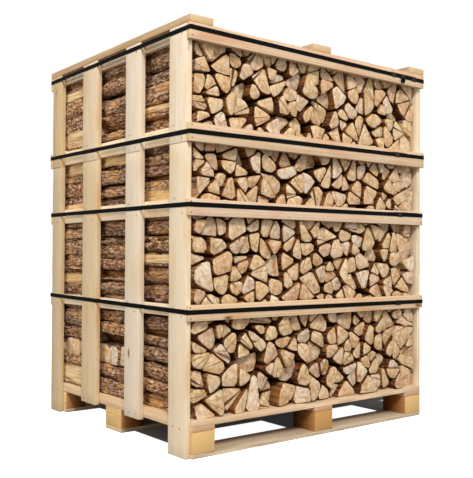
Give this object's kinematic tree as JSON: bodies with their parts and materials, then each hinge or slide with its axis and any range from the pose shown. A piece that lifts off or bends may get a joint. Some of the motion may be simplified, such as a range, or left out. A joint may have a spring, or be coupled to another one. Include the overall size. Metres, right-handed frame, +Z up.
{
  "type": "pallet of firewood",
  "caption": "Pallet of firewood: split logs stacked in rows in a slatted wooden crate on a block pallet, bound round with black straps.",
  "frame": {"origin": "on the floor under the middle of the pallet", "axes": "+Z up; the cut ends of the logs face -Y at the front and +Y at the back; the slatted sides face -X and +X"},
  "size_m": [1.2066, 1.0726, 1.46],
  "materials": {
    "crate_planks": "rough-sawn spruce, pale",
    "rail_boards": "rough-sawn spruce, slightly pink",
    "pallet_boards": "rough-sawn spruce with waney edges",
    "block_pine": "sawn pine, yellow, end grain at the sides",
    "split_logs": "split hardwood with bark backs and sawn ends",
    "strap_plastic": "black embossed strapping band"
  },
  "bodies": {
    "root": {"back_rail_1": "rail_boards", "back_rail_2": "rail_boards", "back_rail_3": "rail_boards", "back_rail_4": "rail_boards", "block_back_centre": "block_pine", "block_back_left": "block_pine", "block_back_right": "block_pine", "block_front_centre": "block_pine", "block_front_left": "block_pine", "block_front_right": "block_pine", "block_middle_centre": "block_pine", "block_middle_left": "block_pine", "block_middle_right": "block_pine", "deck_board_back": "pallet_boards", "deck_board_front": "pallet_boards", "deck_board_inner_back": "pallet_boards", "deck_board_inner_front": "pallet_boards", "front_rail_1": "rail_boards", "front_rail_2": "rail_boards", "front_rail_3": "rail_boards", "front_rail_4": "rail_boards", "left_rail_1": "rail_boards", "left_rail_2": "rail_boards", "left_rail_3": "rail_boards", "left_rail_4": "rail_boards", "logs_lower": "split_logs", "logs_upper": "split_logs", "lower_plank_left_1": "crate_planks", "lower_plank_left_2": "crate_planks", "lower_plank_left_3": "crate_planks", "lower_plank_left_4": "crate_planks", "lower_plank_right_1": "crate_planks", "lower_plank_right_2": "crate_planks", "lower_plank_right_3": "crate_planks", "lower_plank_right_4": "crate_planks", "right_rail_1": "rail_boards", "right_rail_2": "rail_boards", "right_rail_3": "rail_boards", "right_rail_4": "rail_boards", "skid_back": "pallet_boards", "skid_front": "pallet_boards", "skid_middle": "pallet_boards", "strap_1": "strap_plastic", "strap_2": "strap_plastic", "strap_3": "strap_plastic", "strap_4": "strap_plastic", "stringer_left": "pallet_boards", "stringer_middle": "pallet_boards", "stringer_right": "pallet_boards", "top_plank_centre": "crate_planks", "top_plank_left": "crate_planks", "top_plank_right": "crate_planks", "upper_plank_left_1": "crate_planks", "upper_plank_left_2": "crate_planks", "upper_plank_left_3": "crate_planks", "upper_plank_left_4": "crate_planks", "upper_plank_right_1": "crate_planks", "upper_plank_right_2": "crate_planks", "upper_plank_right_3": "crate_planks", "upper_plank_right_4": "crate_planks"}
  },
  "joints": []
}
